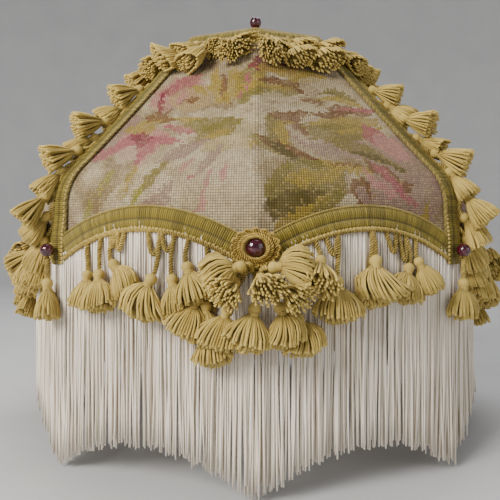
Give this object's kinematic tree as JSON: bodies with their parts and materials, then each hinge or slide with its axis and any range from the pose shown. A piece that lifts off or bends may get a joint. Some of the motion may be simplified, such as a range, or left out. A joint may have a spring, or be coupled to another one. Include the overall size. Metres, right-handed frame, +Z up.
{
  "type": "lamp shade",
  "caption": "Fringed fabric table-lamp shade: wire frame and spider fitting, tapestry covers, gimp braid, tassels, glass beads.",
  "frame": {"origin": "on the shade's axis at the underside of the spider's washer, where the shade sits on the lamp's harp", "axes": "+Z up along the axis, -Y towards the front middle rib, +X to the right of someone who looks at the front"},
  "size_m": [0.4468, 0.4468, 0.3468],
  "materials": {
    "bound_wire": "steel wire bound in buff cotton tape",
    "brass_wire": "brass-plated steel, satin",
    "tapestry": "fine wool canvas stitch in cream, rose, olive and brown",
    "lining": "plain cream cotton",
    "gimp_braid": "ribbed olive-gold rayon braid",
    "tassel_yarn": "old-gold twisted yarn, cut ends",
    "fringe_yarn": "ivory rayon chainette, slight sheen",
    "gold_cord": "metallic gold lame cord",
    "garnet_glass": "garnet-red pressed glass"
  },
  "bodies": {
    "shade": {"top_ring": "bound_wire", "hem_ring": "bound_wire", "rib_1": "bound_wire", "rib_2": "bound_wire", "rib_3": "bound_wire", "rib_4": "bound_wire", "rib_5": "bound_wire", "rib_6": "bound_wire", "rib_7": "bound_wire", "rib_8": "bound_wire", "spider_fitter": "brass_wire", "lining": "lining", "tapestry_front": "tapestry", "tapestry_right": "tapestry", "tapestry_back": "tapestry", "tapestry_left": "tapestry", "fringe_front": "fringe_yarn", "fringe_right": "fringe_yarn", "fringe_back": "fringe_yarn", "fringe_left": "fringe_yarn", "gimp_hem_front": "gimp_braid", "gimp_hem_right": "gimp_braid", "gimp_hem_back": "gimp_braid", "gimp_hem_left": "gimp_braid", "gimp_seam_front_right": "gimp_braid", "gimp_seam_back_right": "gimp_braid", "gimp_seam_back_left": "gimp_braid", "gimp_seam_front_left": "gimp_braid", "gimp_top": "gimp_braid", "tassels_top": "tassel_yarn", "tassels_hem_front": "tassel_yarn", "tassels_hem_right": "tassel_yarn", "tassels_hem_back": "tassel_yarn", "tassels_hem_left": "tassel_yarn", "tassels_seam_front_right": "tassel_yarn", "tassels_seam_back_right": "tassel_yarn", "tassels_seam_back_left": "tassel_yarn", "tassels_seam_front_left": "tassel_yarn", "jewel_setting_front": "gold_cord", "jewel_setting_right": "gold_cord", "jewel_setting_back": "gold_cord", "jewel_setting_left": "gold_cord", "jewel_stone_front": "garnet_glass", "jewel_stone_right": "garnet_glass", "jewel_stone_back": "garnet_glass", "jewel_stone_left": "garnet_glass", "bead_seam_front_right": "garnet_glass", "bead_seam_back_right": "garnet_glass", "bead_seam_back_left": "garnet_glass", "bead_seam_front_left": "garnet_glass", "bead_top_front": "garnet_glass", "bead_top_right": "garnet_glass", "bead_top_back": "garnet_glass", "bead_top_left": "garnet_glass"},
    "pendant_front_right": {"pendant_tassel_front_right": "tassel_yarn"},
    "pendant_back_right": {"pendant_tassel_back_right": "tassel_yarn"},
    "pendant_back_left": {"pendant_tassel_back_left": "tassel_yarn"},
    "pendant_front_left": {"pendant_tassel_front_left": "tassel_yarn"}
  },
  "joints": [
    {"name": "pendant_swing_front_right", "type": "hinge", "parent": "shade", "child": "pendant_front_right", "pos_m": [0.14841, -0.14841, -0.175], "axis": [-0.7071, -0.7071, 0], "range_deg": [0, 40]},
    {"name": "pendant_swing_back_right", "type": "hinge", "parent": "shade", "child": "pendant_back_right", "pos_m": [0.14841, 0.14841, -0.175], "axis": [0.7071, -0.7071, 0], "range_deg": [0, 40]},
    {"name": "pendant_swing_back_left", "type": "hinge", "parent": "shade", "child": "pendant_back_left", "pos_m": [-0.14841, 0.14841, -0.175], "axis": [0.7071, 0.7071, 0], "range_deg": [0, 40]},
    {"name": "pendant_swing_front_left", "type": "hinge", "parent": "shade", "child": "pendant_front_left", "pos_m": [-0.14841, -0.14841, -0.175], "axis": [-0.7071, 0.7071, 0], "range_deg": [0, 40]}
  ]
}
